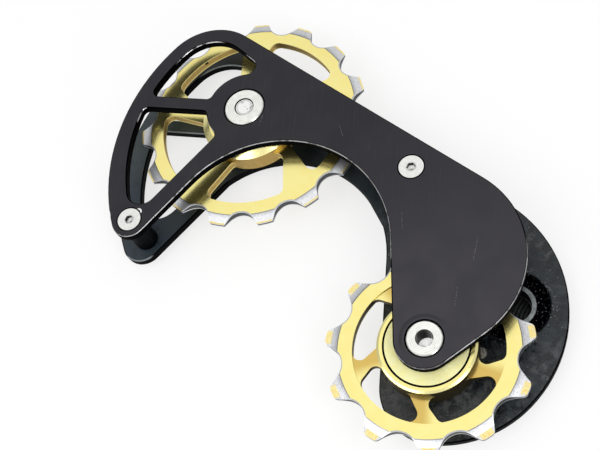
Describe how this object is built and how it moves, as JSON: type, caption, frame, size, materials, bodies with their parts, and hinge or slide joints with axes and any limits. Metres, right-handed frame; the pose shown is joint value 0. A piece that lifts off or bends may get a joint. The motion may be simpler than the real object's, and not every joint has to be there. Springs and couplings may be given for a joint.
{
  "type": "rear derailleur cage",
  "caption": "Rear derailleur cage: flat black plates hold an oversized toothed tension pulley and a smaller guide pulley, both on ball bearings, and a pivot bush at one end.",
  "frame": {"origin": "on the cage's pivot axis, at the outer face of the outer plate", "axes": "+Z along the pivot from the outer plate to the inner plate, +X from the tension pulley towards the guide pulley"},
  "size_m": [0.1337, 0.0853, 0.0177],
  "materials": {
    "inner_plate_black": "satin black anodised",
    "outer_plate_black": "satin black anodised, greasy",
    "gold_anodised": "satin gold anodised, bare on the tooth flanks",
    "bright_nut": "turned, bright",
    "bolt_steel": "bright steel",
    "bright_screw": "bright plated",
    "black_standoff": "satin black anodised",
    "bush_steel": "turned",
    "bearing_steel": "ground",
    "bearing_balls": "polished",
    "retainer_nylon": "moulded",
    "seal_rubber": "matt"
  },
  "bodies": {
    "cage": {"inner_plate": "inner_plate_black", "outer_plate": "outer_plate_black", "tension_sleeve_nut": "bright_nut", "guide_sleeve_nut": "bright_nut", "tension_bolt": "bolt_steel", "guide_bolt": "bolt_steel", "tip_standoff": "black_standoff", "mid_standoff": "black_standoff", "inner_plate_screws": "bright_screw", "outer_plate_screws": "bright_screw", "pivot_bush": "bush_steel", "stop_pin": "bush_steel", "tension_bearing_inner_race": "bearing_steel", "guide_bearing_inner_race": "bearing_steel", "tension_inner_dust_cap": "gold_anodised", "tension_outer_dust_cap": "gold_anodised", "guide_inner_dust_cap": "gold_anodised", "guide_outer_dust_cap": "gold_anodised"},
    "tension_wheel": {"tension_pulley": "gold_anodised", "tension_bearing_outer_race": "bearing_steel", "tension_bearing_seals": "seal_rubber"},
    "guide_wheel": {"guide_pulley": "gold_anodised", "guide_bearing_outer_race": "bearing_steel", "guide_bearing_seals": "seal_rubber"},
    "tension_ball_set": {"tension_bearing_balls": "bearing_balls", "tension_bearing_retainer": "retainer_nylon"},
    "guide_ball_set": {"guide_bearing_balls": "bearing_balls", "guide_bearing_retainer": "retainer_nylon"}
  },
  "joints": [
    {"name": "tension_pulley_spin", "type": "hinge", "parent": "cage", "child": "tension_wheel", "pos_m": [-0.08, -0.0221, 0.0075], "axis": [0, 0, 1], "continuous": true},
    {"name": "guide_pulley_spin", "type": "hinge", "parent": "cage", "child": "guide_wheel", "pos_m": [-0.0016, -0.0221, 0.0075], "axis": [0, 0, 1], "continuous": true},
    {"name": "tension_balls_roll", "type": "hinge", "parent": "cage", "child": "tension_ball_set", "pos_m": [-0.08, -0.0221, 0.0075], "axis": [0, 0, 1], "continuous": true},
    {"name": "guide_balls_roll", "type": "hinge", "parent": "cage", "child": "guide_ball_set", "pos_m": [-0.0016, -0.0221, 0.0075], "axis": [0, 0, 1], "continuous": true}
  ],
  "couplings": [
    {"joint": "tension_balls_roll", "follows": "tension_pulley_spin", "ratio": 0.6125},
    {"joint": "guide_balls_roll", "follows": "guide_pulley_spin", "ratio": 0.6125}
  ]
}
